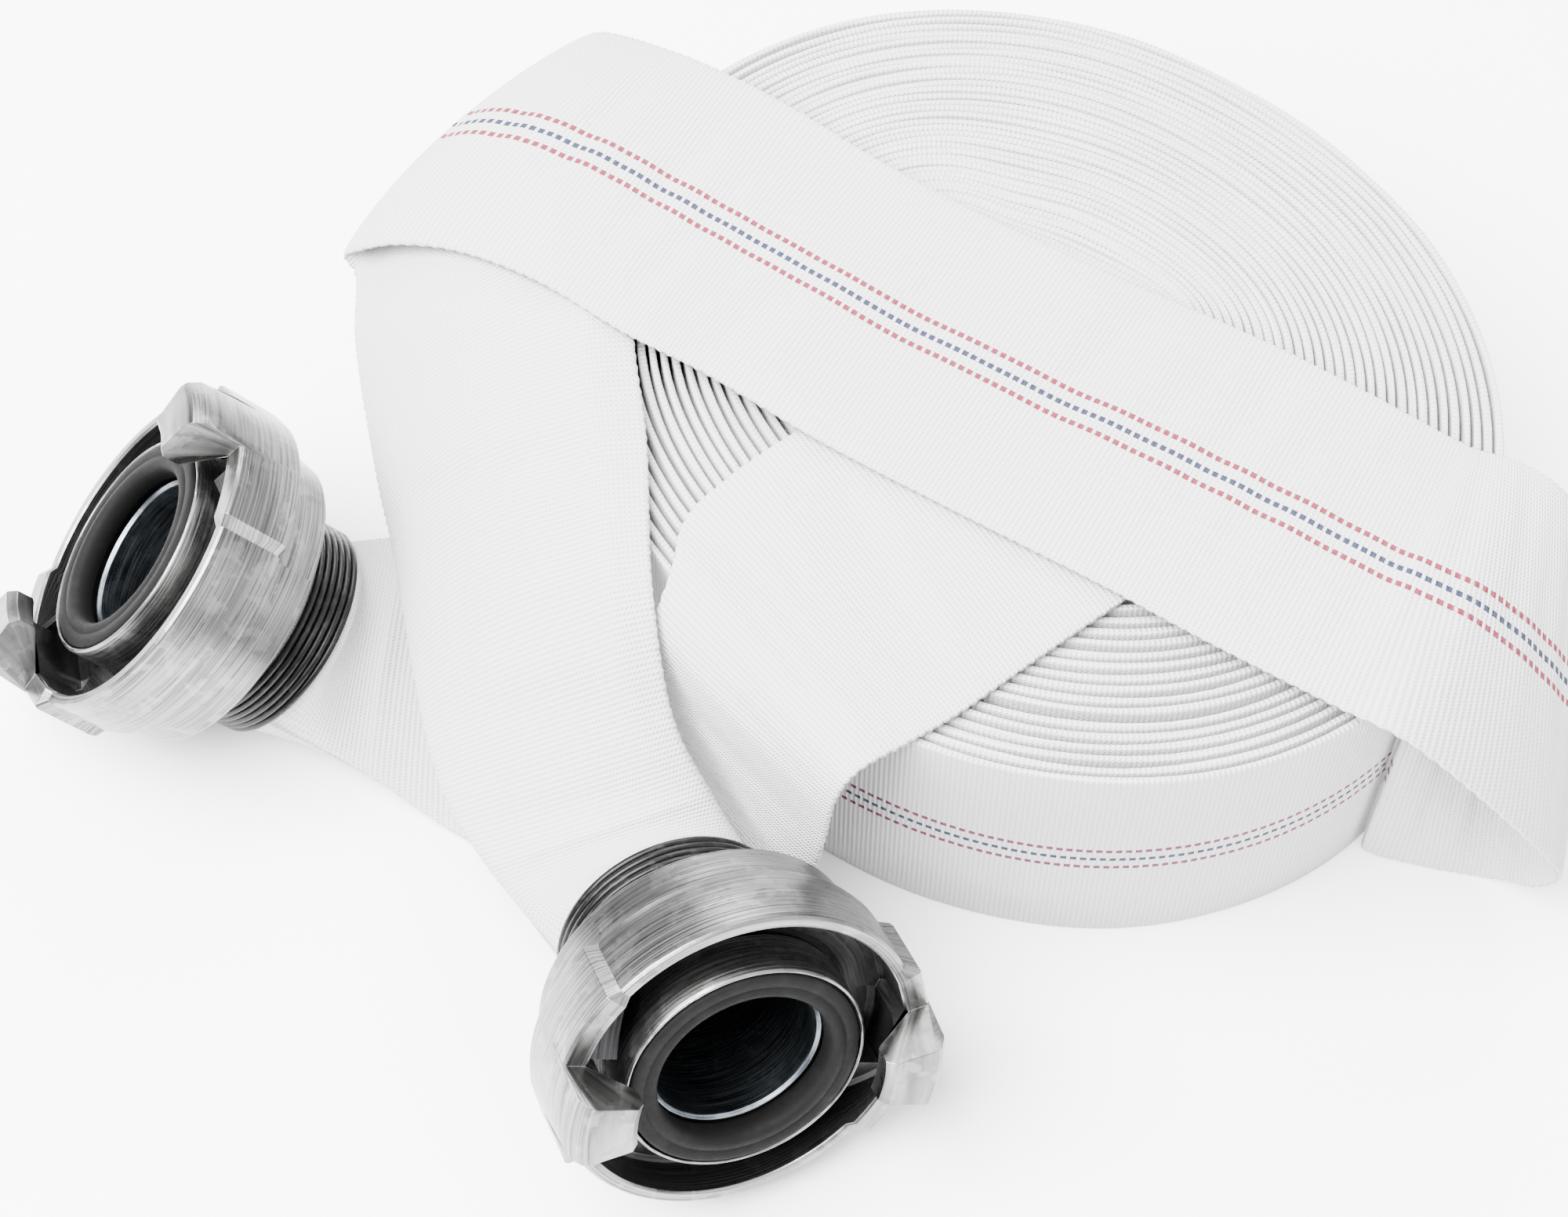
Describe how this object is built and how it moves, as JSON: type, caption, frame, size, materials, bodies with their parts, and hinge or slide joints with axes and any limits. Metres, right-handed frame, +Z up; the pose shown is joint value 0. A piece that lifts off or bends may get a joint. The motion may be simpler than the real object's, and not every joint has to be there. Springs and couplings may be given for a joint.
{
  "type": "rolled fire hose",
  "caption": "Lay-flat fire hose doubled and rolled on its edge, with its free ends folded over the roll and a claw coupling on each end.",
  "frame": {"origin": "centre of the roll, on the plane that it stands on", "axes": "+Z up along the roll's axis, +X to the right and +Y to the back as seen by someone who has one coupling towards them and the other at their left"},
  "size_m": [0.4197, 0.3328, 0.0996],
  "materials": {
    "hose_fabric": "white woven polyester with thin dashed stripes along its middle",
    "coupling_aluminium": "cast and turned aluminium, dull, a little worn",
    "seal_rubber": "smooth black rubber",
    "spring_steel": "bare spring wire",
    "black_wire": "black annealed binding wire"
  },
  "bodies": {
    "hose": {"hose_roll": "hose_fabric", "hose_loose_turn": "hose_fabric", "hose_middle_fold": "hose_fabric", "hose_end_front": "hose_fabric", "hose_end_left": "hose_fabric", "front_coupling_sleeve": "coupling_aluminium", "front_face_seal": "seal_rubber", "front_hose_liner": "seal_rubber", "front_lock_ring": "spring_steel", "front_wire_binding": "black_wire", "left_coupling_sleeve": "coupling_aluminium", "left_face_seal": "seal_rubber", "left_hose_liner": "seal_rubber", "left_lock_ring": "spring_steel", "left_wire_binding": "black_wire"},
    "front_ring": {"front_claw_ring": "coupling_aluminium"},
    "left_ring": {"left_claw_ring": "coupling_aluminium"}
  },
  "joints": [
    {"name": "front_ring_turn", "type": "hinge", "parent": "hose", "child": "front_ring", "pos_m": [-0.075, -0.183, 0.0526], "axis": [0.3683, -0.8592, 0.3551], "continuous": true},
    {"name": "left_ring_turn", "type": "hinge", "parent": "hose", "child": "left_ring", "pos_m": [-0.239, -0.038, 0.059], "axis": [-0.7168, 0.1033, 0.6896], "continuous": true}
  ]
}
